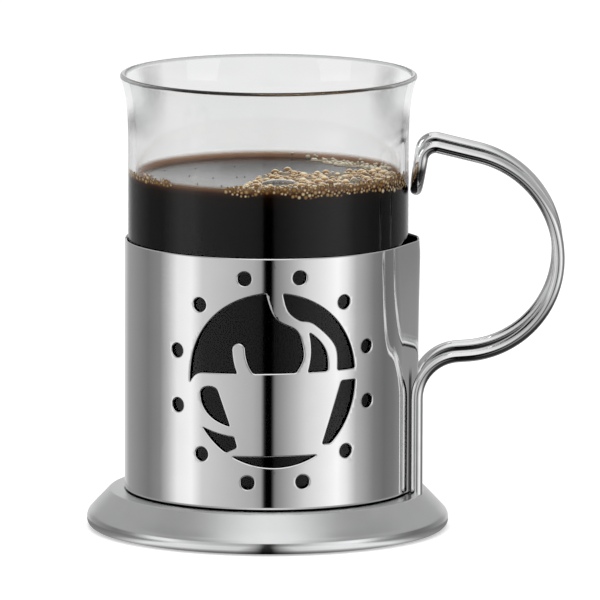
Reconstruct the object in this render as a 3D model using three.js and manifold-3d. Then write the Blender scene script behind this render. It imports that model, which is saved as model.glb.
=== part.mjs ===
// A glass-lined coffee mug: a flared glass stands in a pierced, polished steel sleeve on a conical foot.
// The handle is one round wire bent double, welded to the sleeve, with its hairpin end against the glass.
// Millimetres, +Z up. The origin is on the mug's axis at the table, +X runs towards the handle and
// the pierced front faces -Y.
import * as THREE from 'three';
import { mergeVertices } from 'three/addons/utils/BufferGeometryUtils.js';
import Module from 'manifold-3d';

const wasm = await Module();
wasm.setup();

// Glass liner
const GLASS_RADIUS = 35;
const GLASS_HEIGHT = 102.1;
const GLASS_WALL = 1.8;
const GLASS_FLOOR = 3.6;
const GLASS_HEEL_RADIUS = 4;
const PUNT_RADIUS = 21;
const PUNT_DEPTH = 1.2;
const LIP_FLARE = 2.05;
const FLARE_HEIGHT = 16.5;

// Pierced sleeve, with a channel pressed outwards between the legs of the handle
const SLEEVE_SHEET = 0.5;
const SLEEVE_HEIGHT = 63.3;
const SLEEVE_CURL_RADIUS = 1.6;
const SLEEVE_FLANGE_WIDTH = 4.8;
const CHANNEL_HEIGHT = 1.8;
const CHANNEL_CREST_WIDTH = 8.4;
const CHANNEL_FLANK_WIDTH = 3.1;
const CHANNEL_RUNOUT = 5;
const CHANNEL_TOP_LEAN = 0.3;
const CHANNEL_TOP_TAPER = 4;

// Round window with a steaming cup left standing in it, and the ring of holes round the window
const WINDOW_RADIUS = 21.8;
const WINDOW_RAISE = 1.15;
const WINDOW_SHIFT = 1.5;
const RING_HOLE_DIAMETER = 3.5;
const RING_HOLE_COUNT = 12;
const RING_HOLE_MARGIN = 4.6;

// Handle wire: places are given from the sleeve's outer face and its top edge
const WIRE_DIAMETER = 3;
const WIRE_SPACING = 17;
const HAIRPIN_ABOVE_SLEEVE = 12.4;
const HOOK_ABOVE_SLEEVE = 24.9;
const HOOK_LEAN = 2;
const HOOK_BEND_RADIUS = 3.4;
const BOW_UPPER_REACH = 35.2;
const BOW_UPPER_ABOVE_SLEEVE = 17.2;
const BOW_UPPER_RADIUS = 26;
const BOW_LOWER_REACH = 38.6;
const BOW_LOWER_BELOW_SLEEVE = 26.6;
const BOW_LOWER_RADIUS = 24.4;
const SHOULDER_BELOW_SLEEVE = 29.3;
const SHOULDER_RADIUS = 10.7;

// Conical foot
const BASE_SHEET = 0.8;
const BASE_HEIGHT = 9.6;
const BASE_RADIUS = 45.2;
const BASE_SHOULDER_WIDTH = 3.5;
const BASE_SHOULDER_ROUND = 2.2;
const BASE_CONE_FOOT = 3.9;
const BASE_RIM_ROUND = 4.1;
const BASE_HEM_ROUND = 1.9;
const BASE_HEM_WIDTH = 2.8;

// Seat plate and cushion under the glass
const SEAT_SHEET = 0.8;
const SEAT_LIP_HEIGHT = 2;
const SEAT_LIP_ROUND = 1.6;
const CUSHION_THICKNESS = 1.2;
const CUSHION_WIDTH = 6;
const CUSHION_MARGIN = 0.5;

// Rubber pad that snaps over the hem of the foot
const PAD_PROUD = 0.3;
const PAD_LIP_WIDTH = 0.8;
const PAD_LIP_THICKNESS = 0.9;
const PAD_GROOVE_DEPTH = 0.5;
const PAD_GROOVE_WIDTH = 2;
const PAD_GROOVE_PITCH = 8;
const PAD_GROOVE_COUNT = 2;

// Screw, washer and nut
const SCREW_DIAMETER = 3.7;
const SCREW_HEAD_DIAMETER = 8.4;
const SCREW_HEAD_HEIGHT = 1;
const SCREW_TAIL = 0.8;
const SLOT_WIDTH = 1;
const SLOT_DEPTH = 0.5;
const WASHER_DIAMETER = 12;
const WASHER_THICKNESS = 1;
const NUT_ACROSS_FLATS = 7;
const NUT_THICKNESS = 3.2;

// Clearances
const GLASS_CLEARANCE = 0.3;
const GLASS_SEAT_GAP = 0.2;
const WELD_GAP = 0.3;
const SEAT_CLEARANCE = 0.4;
const SCREW_CLEARANCE = 0.3;
const PAD_CLEARANCE = 0.3;

// Heights of the stack, from the table up
const BOSS_TOP = BASE_HEIGHT + SLEEVE_SHEET;
const SEAT_TOP = BOSS_TOP + SEAT_SHEET;
const CUSHION_TOP = SEAT_TOP + CUSHION_THICKNESS;
const GLASS_BOTTOM = CUSHION_TOP + GLASS_SEAT_GAP;
const GLASS_TOP = GLASS_BOTTOM + GLASS_HEIGHT;
const SLEEVE_TOP = BASE_HEIGHT + SLEEVE_HEIGHT;
const WASHER_TOP = BOSS_TOP - BASE_SHEET;
const NUT_TOP = WASHER_TOP - WASHER_THICKNESS;
const NUT_BOTTOM = NUT_TOP - NUT_THICKNESS;

// Radii that follow from the glass and the screw
const SLEEVE_INNER = GLASS_RADIUS + GLASS_CLEARANCE;
const SLEEVE_OUTER = SLEEVE_INNER + SLEEVE_SHEET;
const FLANGE_INNER = SLEEVE_OUTER - SLEEVE_FLANGE_WIDTH;
const WIRE_RADIUS = WIRE_DIAMETER / 2;
const CHANNEL_CREST = SLEEVE_OUTER + CHANNEL_HEIGHT;
const CHANNEL_SLOPE = CHANNEL_HEIGHT / CHANNEL_FLANK_WIDTH;
const SCREW_HOLE = SCREW_DIAMETER / 2 + SCREW_CLEARANCE;

// Fineness of round faces
const ROUND_SEGMENTS = 56;
const SLEEVE_SEGMENTS = 60;
const HIDDEN_SEGMENTS = 32;
const WIRE_SIDES = 10;
const CUT_SEGMENTS = 4;
const ARC_STEP = Math.PI / 8;
const WIRE_ARC_STEP = Math.PI / 13;

// Turns a profile of (radius, height) points about the mug's axis.
function turned(points, segments = ROUND_SEGMENTS) {
  return new THREE.LatheGeometry(points, segments).rotateX(Math.PI / 2);
}

// A chain of straight runs with rounded corners. A corner is [x, y, radius], and a radius that is too
// large for the runs beside it is drawn in until it fits them.
function roundedChain(corners, arcStep = ARC_STEP) {
  const points = corners.map(([x, y]) => new THREE.Vector2(x, y));
  const runs = points.slice(1).map((point, i) => point.clone().sub(points[i]));
  const bends = corners.map(([, , radius = 0], i) => {
    const before = runs[i - 1] ?? runs[i];
    const after = runs[i] ?? before;
    const turn = Math.atan2(before.cross(after), before.dot(after));
    const setback = radius * Math.tan(Math.abs(turn) / 2);
    return { radius, turn, setback, along: before.clone().normalize() };
  });
  const room = runs.map((run, i) => {
    const needed = bends[i].setback + bends[i + 1].setback;
    return run.length() / Math.max(run.length(), needed);
  });
  const knots = [];
  bends.forEach(({ radius, turn, along, setback }, i) => {
    const share = Math.min(room[i - 1] ?? 1, room[i] ?? 1);
    const start = points[i].clone().addScaledVector(along, -setback * share);
    const side = new THREE.Vector2(-along.y, along.x).multiplyScalar(radius * share * Math.sign(turn));
    const centre = start.clone().add(side);
    const steps = setback > 0 ? Math.ceil(Math.abs(turn) / arcStep) : 0;
    for (let step = 0; step <= steps; step += 1) {
      const angle = steps > 0 ? (turn * step) / steps : 0;
      const at = start.clone().rotateAround(centre, angle);
      const apart = knots.length > 0 ? at.distanceTo(knots[knots.length - 1].at) : 1;
      if (apart > 1e-3) knots.push({ at, along: along.clone().rotateAround(new THREE.Vector2(), angle) });
    }
  });
  return knots;
}

const chainPoints = (corners) => roundedChain(corners).map(({ at }) => at);

// The closed section of a sheet whose outer face follows the points and whose thickness lies to their left.
function sheetSection(points, thickness) {
  const inner = points.map((point, i) => {
    const before = point.clone().sub(points[i - 1] ?? point);
    const after = (points[i + 1] ?? point).clone().sub(point);
    const first = (before.length() > 0 ? before : after).normalize();
    const second = (after.length() > 0 ? after : before).normalize();
    const mitre = new THREE.Vector2(-first.y - second.y, first.x + second.x);
    return point.clone().addScaledVector(mitre, thickness / (1 + first.dot(second)));
  });
  return [...points, ...inner.reverse(), points[0].clone()];
}

// A solid for cutting and joining, made from a closed mesh.
function solid(geometry) {
  const bare = geometry.clone().deleteAttribute('normal').deleteAttribute('uv');
  const merged = mergeVertices(bare, 1e-4);
  const corners = Array.from(merged.index.array);
  const triVerts = [];
  for (let i = 0; i < corners.length; i += 3) {
    const [a, b, c] = corners.slice(i, i + 3);
    if (a !== b && b !== c && c !== a) triVerts.push(a, b, c);
  }
  return new wasm.Manifold(new wasm.Mesh({
    numProp: 3,
    vertProperties: new Float32Array(merged.attributes.position.array),
    triVerts: new Uint32Array(triVerts),
  }));
}

function meshGeometry(body) {
  const { vertProperties, triVerts } = body.getMesh();
  const geometry = new THREE.BufferGeometry();
  geometry.setAttribute('position', new THREE.BufferAttribute(vertProperties, 3));
  geometry.setIndex(new THREE.BufferAttribute(triVerts, 1));
  geometry.computeVertexNormals();
  return geometry;
}

// The glass: a thick floor with a shallow punt, a straight wall, and a lip that flares out and ends round.
function glassLiner() {
  const half = GLASS_WALL / 2;
  const wallMiddle = GLASS_RADIUS - half;
  const flareStart = GLASS_TOP - half - FLARE_HEIGHT;
  const flare = new THREE.CubicBezierCurve(
    new THREE.Vector2(wallMiddle, flareStart),
    new THREE.Vector2(wallMiddle, flareStart + 0.45 * FLARE_HEIGHT),
    new THREE.Vector2(wallMiddle + 0.35 * LIP_FLARE, flareStart + 0.82 * FLARE_HEIGHT),
    new THREE.Vector2(wallMiddle + LIP_FLARE, flareStart + FLARE_HEIGHT),
  );
  const flareSteps = 6;
  const besideFlare = (t, angle) => {
    const outwards = flare.getTangent(t).rotateAround(new THREE.Vector2(), angle);
    return flare.getPoint(t).addScaledVector(outwards, half);
  };
  const outerFlare = Array.from({ length: flareSteps }, (_, i) => besideFlare(i / flareSteps, -Math.PI / 2));
  const innerFlare = Array.from({ length: flareSteps }, (_, i) => besideFlare(i / flareSteps, Math.PI / 2));
  const lipSteps = 4;
  const lip = Array.from({ length: lipSteps + 1 }, (_, i) => besideFlare(1, Math.PI * (i / lipSteps - 0.5)));
  const outerFoot = chainPoints([
    [0, GLASS_BOTTOM + PUNT_DEPTH],
    [PUNT_RADIUS - PUNT_DEPTH, GLASS_BOTTOM + PUNT_DEPTH],
    [PUNT_RADIUS, GLASS_BOTTOM],
    [GLASS_RADIUS, GLASS_BOTTOM, GLASS_HEEL_RADIUS],
    [GLASS_RADIUS, flareStart],
  ]);
  const innerFoot = chainPoints([
    [GLASS_RADIUS - GLASS_WALL, flareStart],
    [GLASS_RADIUS - GLASS_WALL, GLASS_BOTTOM + GLASS_FLOOR, GLASS_HEEL_RADIUS],
    [0, GLASS_BOTTOM + GLASS_FLOOR],
  ]);
  return turned([
    ...outerFoot,
    ...outerFlare.slice(1),
    ...lip,
    ...innerFlare.slice(1).reverse(),
    ...innerFoot,
  ]);
}

// The cut-outs of the window, in units of its radius. What is left between them is a cup with its
// ear, a spoon and a ribbon of steam over the rim, and a saucer line below.
function windowCuts() {
  const rimLine = 0.083;
  const bandLine = -0.046;
  const saucerLine = -0.872;
  const bowlFoot = -0.752;
  const point = (x, y) => new THREE.Vector2(x, y);
  const across = (y) => Math.sqrt(1 - y * y);

  const spoonTip = point(-0.394, 0.358);
  const spoonRadius = 0.073;
  const steamLeft = point(-0.073, across(-0.073));
  const earAngle = Math.PI * 1.013;
  const besideSpoon = new THREE.Shape();
  besideSpoon.moveTo(-0.82, rimLine);
  besideSpoon.lineTo(-0.413, rimLine);
  besideSpoon.quadraticCurveTo(-0.462, 0.2, spoonTip.x - spoonRadius, spoonTip.y);
  besideSpoon.absarc(spoonTip.x, spoonTip.y, spoonRadius, Math.PI, 0, true);
  besideSpoon.quadraticCurveTo(-0.318, 0.2, -0.229, rimLine);
  besideSpoon.lineTo(0.261, rimLine);
  besideSpoon.splineThru([point(0.353, 0.28), point(0.275, 0.555), point(0.032, 0.711), steamLeft]);
  besideSpoon.absarc(0, 0, 1, steamLeft.angle(), earAngle, false);
  besideSpoon.quadraticCurveTo(-0.94, 0.083, -0.82, rimLine);

  const steamRight = point(0.119, across(0.119));
  const besideSteam = new THREE.Shape();
  besideSteam.moveTo(0.761, rimLine);
  besideSteam.lineTo(across(rimLine), rimLine);
  besideSteam.absarc(0, 0, 1, Math.asin(rimLine), steamRight.angle(), false);
  besideSteam.splineThru([point(0.174, 0.798), point(0.307, 0.683), point(0.477, 0.633), point(0.734, 0.367),
    point(0.761, rimLine)]);

  const withinSteam = new THREE.Shape();
  withinSteam.moveTo(0.394, rimLine);
  withinSteam.lineTo(0.638, rimLine);
  withinSteam.quadraticCurveTo(0.68, 0.36, 0.417, 0.537);
  withinSteam.quadraticCurveTo(0.47, 0.3, 0.394, rimLine);

  const besideBowl = new THREE.Shape();
  besideBowl.moveTo(0.807, bandLine);
  besideBowl.lineTo(0.555, bowlFoot);
  besideBowl.lineTo(across(bowlFoot), bowlFoot);
  besideBowl.absarc(0, 0, 1, Math.asin(bowlFoot), Math.asin(bandLine), false);

  const withinEar = new THREE.Shape();
  withinEar.moveTo(-0.642, -0.128);
  withinEar.quadraticCurveTo(-0.665, -0.078, -0.745, -0.076);
  withinEar.quadraticCurveTo(-0.86, -0.078, -0.867, -0.183);
  withinEar.quadraticCurveTo(-0.83, -0.45, -0.505, -0.528);

  const earFoot = Math.PI * 1.183;
  const heelAngle = Math.PI * 1.31;
  const belowEar = new THREE.Shape();
  belowEar.moveTo(-0.427, -0.766);
  belowEar.lineTo(-0.459, -0.647);
  belowEar.quadraticCurveTo(-0.65, -0.63, Math.cos(earFoot), Math.sin(earFoot));
  belowEar.absarc(0, 0, 1, earFoot, heelAngle, false);

  const saucer = new THREE.Shape();
  saucer.absarc(0, 0, 1, Math.PI - Math.asin(saucerLine), 2 * Math.PI + Math.asin(saucerLine), false);
  return [besideSpoon, besideSteam, withinSteam, besideBowl, withinEar, belowEar, saucer];
}

// The round holes of the ring, in millimetres from the window's centre.
function ringHoles() {
  const ringRadius = WINDOW_RADIUS + RING_HOLE_MARGIN;
  const pitch = (2 * Math.PI) / RING_HOLE_COUNT;
  return Array.from({ length: RING_HOLE_COUNT }, (_, i) => {
    const centre = new THREE.Vector2(ringRadius, 0).rotateAround(new THREE.Vector2(), (i + 0.5) * pitch);
    const hole = new THREE.Shape();
    hole.absarc(centre.x, centre.y, RING_HOLE_DIAMETER / 2, 0, 2 * Math.PI);
    return hole;
  });
}

// A cutter for an outline drawn on the flat sheet, wrapped round the front of the sleeve.
function wrappedCutter(outline, unit) {
  const reach = 8;
  const rolledRadius = SLEEVE_INNER + SLEEVE_SHEET / 2;
  const centreHeight = BASE_HEIGHT + SLEEVE_HEIGHT / 2 + WINDOW_RAISE;
  const settings = { depth: SLEEVE_SHEET + 2 * reach, bevelEnabled: false, curveSegments: CUT_SEGMENTS };
  const geometry = new THREE.ExtrudeGeometry(outline, settings).scale(unit, unit, 1);
  const places = geometry.attributes.position;
  for (let i = 0; i < places.count; i += 1) {
    const angle = (places.getX(i) + WINDOW_SHIFT) / rolledRadius;
    const radius = SLEEVE_INNER - reach + places.getZ(i);
    places.setXYZ(i, radius * Math.sin(angle), -radius * Math.cos(angle), centreHeight + places.getY(i));
  }
  return solid(geometry);
}

// The pressed channel as a solid: a plan with sloping flanks raised to the sleeve's top, met by a side view
// whose lower end runs out into the sleeve. The inset shrinks it by a sheet for the hollow.
function channelBody(inset) {
  const crest = CHANNEL_CREST - inset;
  const crestHalf = CHANNEL_CREST_WIDTH / 2 - inset * (Math.hypot(1, CHANNEL_SLOPE) - 1) / CHANNEL_SLOPE;
  const behind = SLEEVE_INNER - SLEEVE_FLANGE_WIDTH;
  const behindHalf = crestHalf + (crest - behind) / CHANNEL_SLOPE;
  const bottom = BASE_HEIGHT + SLEEVE_CURL_RADIUS;
  const top = SLEEVE_TOP + inset;
  const slope = (CHANNEL_HEIGHT + SLEEVE_SHEET) / CHANNEL_RUNOUT;
  const lowerEnd = SLEEVE_INNER - inset * Math.hypot(1, slope);
  const plan = new THREE.Shape();
  plan.moveTo(behind, -behindHalf);
  plan.lineTo(crest, -crestHalf);
  plan.lineTo(crest, crestHalf);
  plan.lineTo(behind, behindHalf);
  const raised = new THREE.ExtrudeGeometry(plan, { depth: top - bottom, bevelEnabled: false });
  raised.translate(0, 0, bottom);
  const side = new THREE.Shape();
  side.moveTo(behind, bottom);
  side.lineTo(lowerEnd, bottom);
  side.lineTo(crest, bottom + (crest - lowerEnd) / slope);
  side.lineTo(crest, SLEEVE_TOP - CHANNEL_TOP_TAPER);
  side.lineTo(crest - CHANNEL_TOP_LEAN, SLEEVE_TOP);
  side.lineTo(crest - CHANNEL_TOP_LEAN, top);
  side.lineTo(behind, top);
  const width = 2 * behindHalf + CHANNEL_CREST_WIDTH;
  const across = new THREE.ExtrudeGeometry(side, { depth: width, bevelEnabled: false });
  across.rotateX(Math.PI / 2).translate(0, width / 2, 0);
  return solid(raised).intersect(solid(across));
}

// The sleeve: a rolled sheet with an edge curled in below, the channel pressed out between the handle's
// legs, and the window and holes pierced through the front.
function sleeve() {
  const outerFace = chainPoints([
    [FLANGE_INNER, BASE_HEIGHT],
    [SLEEVE_OUTER, BASE_HEIGHT, SLEEVE_CURL_RADIUS],
    [SLEEVE_OUTER, SLEEVE_TOP],
  ]);
  const tube = solid(turned(sheetSection(outerFace, SLEEVE_SHEET), SLEEVE_SEGMENTS));
  const bore = solid(turned([
    new THREE.Vector2(0, BASE_HEIGHT),
    new THREE.Vector2(SLEEVE_INNER, BASE_HEIGHT),
    new THREE.Vector2(SLEEVE_INNER, SLEEVE_TOP + SLEEVE_SHEET),
    new THREE.Vector2(0, SLEEVE_TOP + SLEEVE_SHEET),
  ], SLEEVE_SEGMENTS));
  const pressed = channelBody(0).subtract(bore);
  let body = tube.add(pressed).subtract(channelBody(SLEEVE_SHEET));
  windowCuts().forEach((outline) => {
    body = body.subtract(wrappedCutter(outline, WINDOW_RADIUS));
  });
  ringHoles().forEach((outline) => {
    body = body.subtract(wrappedCutter(outline, 1));
  });
  return meshGeometry(body);
}

// A wire's path, given as the knots that its bends need.
class BentWire extends THREE.Curve {
  constructor(knots) {
    super();
    this.knots = knots;
  }

  knotAt(u) {
    return this.knots[Math.round(u * (this.knots.length - 1))];
  }

  getPointAt(u, target = new THREE.Vector3()) {
    return target.copy(this.knotAt(u).at);
  }

  getTangentAt(u, target = new THREE.Vector3()) {
    return target.copy(this.knotAt(u).along);
  }
}

// The handle: from the foot of one leg up the sleeve, round the bow and the hook to the hairpin that
// lies against the glass, and back the same way on the other side.
function handleWire() {
  const halfSpacing = WIRE_SPACING / 2;
  const legStandOff = WELD_GAP + WIRE_RADIUS;
  const besideSleeve = Math.sqrt((SLEEVE_OUTER + legStandOff) ** 2 - halfSpacing ** 2);
  const flankDrop = CHANNEL_SLOPE * (halfSpacing - CHANNEL_CREST_WIDTH / 2);
  const besideFlank = CHANNEL_CREST - flankDrop + legStandOff * Math.hypot(1, CHANNEL_SLOPE);
  const legReach = Math.max(besideSleeve, besideFlank);
  const hairpinReach = GLASS_RADIUS + GLASS_CLEARANCE + WIRE_RADIUS;
  const hairpin = new THREE.Vector2(hairpinReach, SLEEVE_TOP + HAIRPIN_ABOVE_SLEEVE);
  const hook = new THREE.Vector2(hairpin.x + HOOK_LEAN, SLEEVE_TOP + HOOK_ABOVE_SLEEVE);
  const down = hairpin.clone().sub(hook).normalize();
  const turnStart = hairpin.clone().addScaledVector(down, -halfSpacing);
  const run = roundedChain([
    [legReach, BASE_HEIGHT],
    [legReach, SLEEVE_TOP - SHOULDER_BELOW_SLEEVE, SHOULDER_RADIUS],
    [SLEEVE_OUTER + BOW_LOWER_REACH, SLEEVE_TOP - BOW_LOWER_BELOW_SLEEVE, BOW_LOWER_RADIUS],
    [SLEEVE_OUTER + BOW_UPPER_REACH, SLEEVE_TOP + BOW_UPPER_ABOVE_SLEEVE, BOW_UPPER_RADIUS],
    [hook.x, hook.y, HOOK_BEND_RADIUS],
    [turnStart.x, turnStart.y],
  ], WIRE_ARC_STEP);
  const near = run.map(({ at, along }) => ({
    at: new THREE.Vector3(at.x, -halfSpacing, at.y),
    along: new THREE.Vector3(along.x, 0, along.y),
  }));
  const far = run.map(({ at, along }) => ({
    at: new THREE.Vector3(at.x, halfSpacing, at.y),
    along: new THREE.Vector3(-along.x, 0, -along.y),
  })).reverse();
  const turnSteps = Math.ceil(Math.PI / WIRE_ARC_STEP);
  const turn = Array.from({ length: turnSteps - 1 }, (_, i) => {
    const angle = (Math.PI * (i + 1)) / turnSteps;
    const drop = halfSpacing * Math.sin(angle);
    const sink = Math.cos(angle);
    return {
      at: new THREE.Vector3(turnStart.x + down.x * drop, -halfSpacing * sink, turnStart.y + down.y * drop),
      along: new THREE.Vector3(down.x * sink, Math.sin(angle), down.y * sink),
    };
  });
  const knots = [...near, ...turn, ...far];
  const section = new THREE.Shape(Array.from({ length: WIRE_SIDES }, (_, i) => {
    const angle = (2 * Math.PI * i) / WIRE_SIDES;
    return new THREE.Vector2(WIRE_RADIUS * Math.cos(angle), WIRE_RADIUS * Math.sin(angle));
  }));
  return new THREE.ExtrudeGeometry(section, { steps: knots.length - 1, extrudePath: new BentWire(knots) });
}

// The foot: a stamped sheet with a raised boss that centres the sleeve's flange, a conical skirt and a hem.
function baseShell() {
  const bossRadius = FLANGE_INNER - SEAT_CLEARANCE;
  const outerFace = chainPoints([
    [BASE_RADIUS - BASE_HEM_WIDTH, PAD_PROUD],
    [BASE_RADIUS, PAD_PROUD, BASE_HEM_ROUND],
    [BASE_RADIUS, BASE_CONE_FOOT, BASE_RIM_ROUND],
    [SLEEVE_OUTER + BASE_SHOULDER_WIDTH, BASE_HEIGHT, BASE_SHOULDER_ROUND],
    [bossRadius, BASE_HEIGHT],
    [bossRadius, BOSS_TOP],
    [SCREW_HOLE, BOSS_TOP],
  ]);
  return turned(sheetSection(outerFace, BASE_SHEET));
}

// The seat plate: a shallow dish that clamps the sleeve's flange against the foot.
function seatPlate() {
  const seatRadius = SLEEVE_INNER - SEAT_CLEARANCE;
  const outerFace = chainPoints([
    [SCREW_HOLE, BOSS_TOP],
    [seatRadius, BOSS_TOP, SEAT_LIP_ROUND],
    [seatRadius, BOSS_TOP + SEAT_LIP_HEIGHT],
  ]);
  return turned(sheetSection(outerFace, SEAT_SHEET), HIDDEN_SEGMENTS);
}

function ring(innerRadius, outerRadius, bottom, top) {
  return turned([
    new THREE.Vector2(innerRadius, bottom),
    new THREE.Vector2(outerRadius, bottom),
    new THREE.Vector2(outerRadius, top),
    new THREE.Vector2(innerRadius, top),
    new THREE.Vector2(innerRadius, bottom),
  ], HIDDEN_SEGMENTS);
}

// The cushion: a soft ring under the flat of the glass.
function glassCushion() {
  const outerRadius = GLASS_RADIUS - GLASS_HEEL_RADIUS - CUSHION_MARGIN;
  return ring(outerRadius - CUSHION_WIDTH, outerRadius, SEAT_TOP, CUSHION_TOP);
}

// The foot pad: a grooved rubber disc whose lip hooks over the hem.
function footPad() {
  const discRadius = BASE_RADIUS - BASE_HEM_WIDTH - PAD_CLEARANCE;
  const hemTop = PAD_PROUD + BASE_SHEET;
  const lipRadius = discRadius + PAD_CLEARANCE + PAD_LIP_WIDTH;
  const grooves = Array.from({ length: PAD_GROOVE_COUNT }, (_, i) => {
    const inner = discRadius - (PAD_GROOVE_COUNT - i) * PAD_GROOVE_PITCH;
    return [
      [inner, 0],
      [inner, PAD_GROOVE_DEPTH],
      [inner + PAD_GROOVE_WIDTH, PAD_GROOVE_DEPTH],
      [inner + PAD_GROOVE_WIDTH, 0],
    ];
  }).flat();
  return turned(chainPoints([
    [0, 0],
    ...grooves,
    [discRadius, 0],
    [discRadius, hemTop],
    [lipRadius, hemTop],
    [lipRadius, hemTop + PAD_LIP_THICKNESS],
    [0, hemTop + PAD_LIP_THICKNESS],
  ]), HIDDEN_SEGMENTS);
}

// The screw: a low round head with a slot, and a plain shank down through the nut.
function baseScrew() {
  const headRadius = SCREW_HEAD_DIAMETER / 2;
  const headTop = SEAT_TOP + SCREW_HEAD_HEIGHT;
  const shank = solid(turned(chainPoints([
    [0, NUT_BOTTOM - SCREW_TAIL],
    [SCREW_DIAMETER / 2, NUT_BOTTOM - SCREW_TAIL],
    [SCREW_DIAMETER / 2, SEAT_TOP],
    [headRadius, SEAT_TOP],
    [headRadius, headTop, SCREW_HEAD_HEIGHT],
    [0, headTop],
  ]), HIDDEN_SEGMENTS));
  const slot = new THREE.BoxGeometry(SCREW_HEAD_DIAMETER, SLOT_WIDTH, 2 * SLOT_DEPTH);
  slot.translate(0, 0, headTop);
  return meshGeometry(shank.subtract(solid(slot)));
}

function baseWasher() {
  return ring(SCREW_HOLE, WASHER_DIAMETER / 2, NUT_TOP, WASHER_TOP);
}

function baseNut() {
  const corner = NUT_ACROSS_FLATS / Math.sqrt(3);
  const outline = new THREE.Shape(Array.from({ length: 6 }, (_, i) => {
    return new THREE.Vector2(corner * Math.cos((i * Math.PI) / 3), corner * Math.sin((i * Math.PI) / 3));
  }));
  const hole = new THREE.Path();
  hole.absarc(0, 0, SCREW_HOLE, 0, 2 * Math.PI);
  outline.holes.push(hole);
  const settings = { depth: NUT_THICKNESS, bevelEnabled: false, curveSegments: 2 * CUT_SEGMENTS };
  return new THREE.ExtrudeGeometry(outline, settings).translate(0, 0, NUT_BOTTOM);
}

const clearGlass = new THREE.MeshStandardMaterial({
  color: 0xf2f6f6, roughness: 0.03, metalness: 0, transparent: true, opacity: 0.3,
});
const polishedSteel = new THREE.MeshStandardMaterial({ color: 0xd6d7d8, roughness: 0.1, metalness: 1 });
const brightWire = new THREE.MeshStandardMaterial({ color: 0xdcdddd, roughness: 0.06, metalness: 1 });
const satinSteel = new THREE.MeshStandardMaterial({ color: 0xb9bbbd, roughness: 0.32, metalness: 1 });
const zincPlate = new THREE.MeshStandardMaterial({ color: 0xaeb2b6, roughness: 0.4, metalness: 1 });
const clearSilicone = new THREE.MeshStandardMaterial({ color: 0xd9d9d4, roughness: 0.6, metalness: 0 });
const blackRubber = new THREE.MeshStandardMaterial({ color: 0x1b1b1c, roughness: 0.85, metalness: 0 });

const mug = new THREE.Group();
const pieces = [
  ['foot_pad', footPad(), blackRubber],
  ['base_shell', baseShell(), satinSteel],
  ['base_nut', baseNut(), zincPlate],
  ['base_washer', baseWasher(), zincPlate],
  ['sleeve', sleeve(), polishedSteel],
  ['handle_wire', handleWire(), brightWire],
  ['seat_plate', seatPlate(), satinSteel],
  ['base_screw', baseScrew(), zincPlate],
  ['glass_cushion', glassCushion(), clearSilicone],
  ['glass_liner', glassLiner(), clearGlass],
];
pieces.forEach(([name, geometry, material]) => {
  const mesh = new THREE.Mesh(geometry, material);
  mesh.name = name;
  mug.add(mesh);
});

export default mug;
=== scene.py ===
import cmath
import math

import bpy
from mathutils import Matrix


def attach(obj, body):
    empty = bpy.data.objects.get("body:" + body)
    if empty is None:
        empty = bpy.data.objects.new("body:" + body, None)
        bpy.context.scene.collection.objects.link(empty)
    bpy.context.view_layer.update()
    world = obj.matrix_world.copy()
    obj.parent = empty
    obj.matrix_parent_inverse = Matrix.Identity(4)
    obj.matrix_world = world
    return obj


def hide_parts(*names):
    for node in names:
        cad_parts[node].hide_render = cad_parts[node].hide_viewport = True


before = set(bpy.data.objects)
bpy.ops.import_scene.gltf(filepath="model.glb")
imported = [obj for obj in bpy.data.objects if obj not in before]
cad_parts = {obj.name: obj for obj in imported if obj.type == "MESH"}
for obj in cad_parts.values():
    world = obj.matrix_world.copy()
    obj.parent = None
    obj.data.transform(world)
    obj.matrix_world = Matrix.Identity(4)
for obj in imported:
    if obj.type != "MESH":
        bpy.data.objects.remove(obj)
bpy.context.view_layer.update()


MM = 0.001


def rounded(corners, step=0.16):
    """The points of a profile given by its corners (radius, height, rounding), in millimetres."""
    points = [complex(corner[0], corner[1]) for corner in corners]
    path = [points[0]]
    for i in range(1, len(points) - 1):
        rounding = corners[i][2] if len(corners[i]) > 2 else 0
        before = points[i] - points[i - 1]
        after = points[i + 1] - points[i]
        turn = cmath.phase(after / before)
        ahead = before / abs(before)
        start = points[i] - ahead * rounding * math.tan(abs(turn) / 2)
        centre = start + ahead * 1j * math.copysign(rounding, turn)
        steps = max(2, math.ceil(abs(turn) / step)) if rounding else 0
        for k in range(steps + 1):
            path.append(centre + (start - centre) * cmath.rect(1, turn * k / max(steps, 1)))
    return path + [points[-1]]


def extrude_ring(here, there):
    """Extrudes the selected ring of edges from one point of a section to the next."""
    growth = there.real / here.real
    rise = (there.imag - here.imag) * MM
    bpy.ops.mesh.extrude_edges_move(TRANSFORM_OT_translate={"value": (0, 0, rise)})
    bpy.ops.transform.resize(value=(growth, growth, 1), center_override=(0, 0, 0))


def raise_rings(name, section, sides=144, closed=True):
    """Turns a section by extruding a circle ring by ring. A closed section joins up with its first ring."""
    bpy.ops.object.select_all(action="DESELECT")
    low = section[0]
    bpy.ops.mesh.primitive_circle_add(vertices=sides, radius=low.real * MM, location=(0, 0, low.imag * MM))
    piece = bpy.context.object
    piece.name = piece.data.name = name
    bpy.ops.object.transform_apply(location=True, rotation=True, scale=True)
    bpy.ops.object.mode_set(mode="EDIT")
    bpy.ops.mesh.select_mode(type="EDGE")
    bpy.ops.mesh.select_all(action="SELECT")
    for here, there in zip(section, section[1:]):
        extrude_ring(here, there)
    bpy.ops.mesh.select_all(action="SELECT")
    if closed:
        bpy.ops.mesh.remove_doubles(threshold=1e-7)
    else:
        bpy.ops.mesh.fill_holes(sides=0)
    bpy.ops.mesh.select_all(action="SELECT")
    bpy.ops.mesh.normals_make_consistent(inside=False)
    bpy.ops.object.mode_set(mode="OBJECT")
    bpy.ops.object.shade_smooth_by_angle(angle=math.radians(35))
    return piece


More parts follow.
